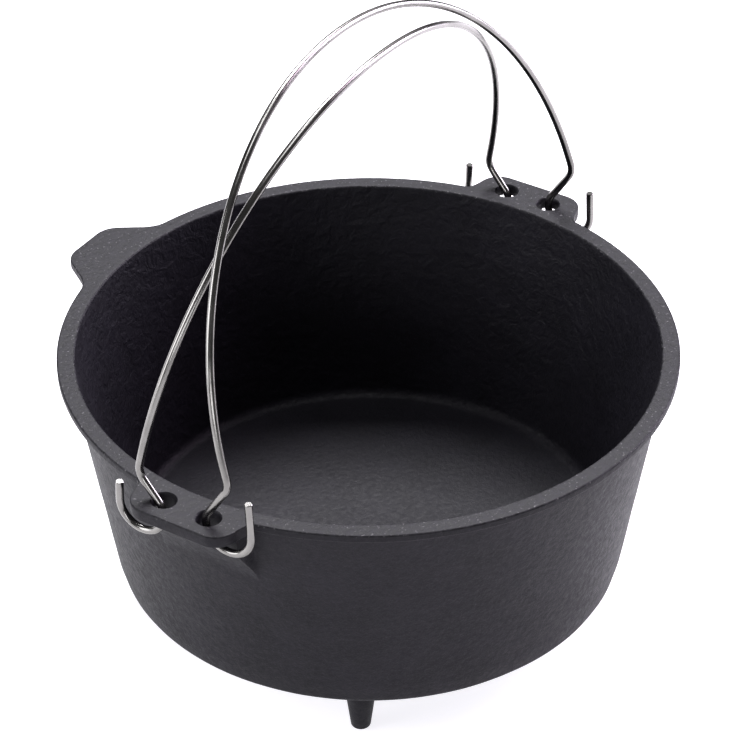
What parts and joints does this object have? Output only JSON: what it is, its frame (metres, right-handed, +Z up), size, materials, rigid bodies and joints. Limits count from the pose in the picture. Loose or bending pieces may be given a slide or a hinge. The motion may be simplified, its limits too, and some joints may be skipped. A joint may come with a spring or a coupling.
{
  "type": "camp dutch oven",
  "caption": "Round cast iron camp oven without its lid: tapered pot on legs, rim lugs, grip tab, and a pair of wire bails that swing in the lugs.",
  "frame": {"origin": "middle of the footprint on the ground plane under the legs; the pot's own axis is at x = 0, y = -0.010 m", "axes": "+Z up, +X from lug to lug, +Y towards the grip tab"},
  "size_m": [0.353, 0.34, 0.332],
  "materials": {
    "cast_iron": "matt black seasoned, fine sand-cast texture",
    "steel_wire": "bright drawn stainless wire"
  },
  "bodies": {
    "pot": {"pot_casting": "cast_iron"},
    "outer_bail": {"outer_bail": "steel_wire"},
    "inner_bail": {"inner_bail": "steel_wire"}
  },
  "joints": [
    {"name": "outer_bail_hinge", "type": "hinge", "parent": "pot", "child": "outer_bail", "pos_m": [0, -0.0355, 0.1535], "axis": [1, 0, 0], "range_deg": [0, 150]},
    {"name": "inner_bail_hinge", "type": "hinge", "parent": "pot", "child": "inner_bail", "pos_m": [0, 0.0155, 0.1465], "axis": [-1, 0, 0], "range_deg": [0, 150]}
  ]
}
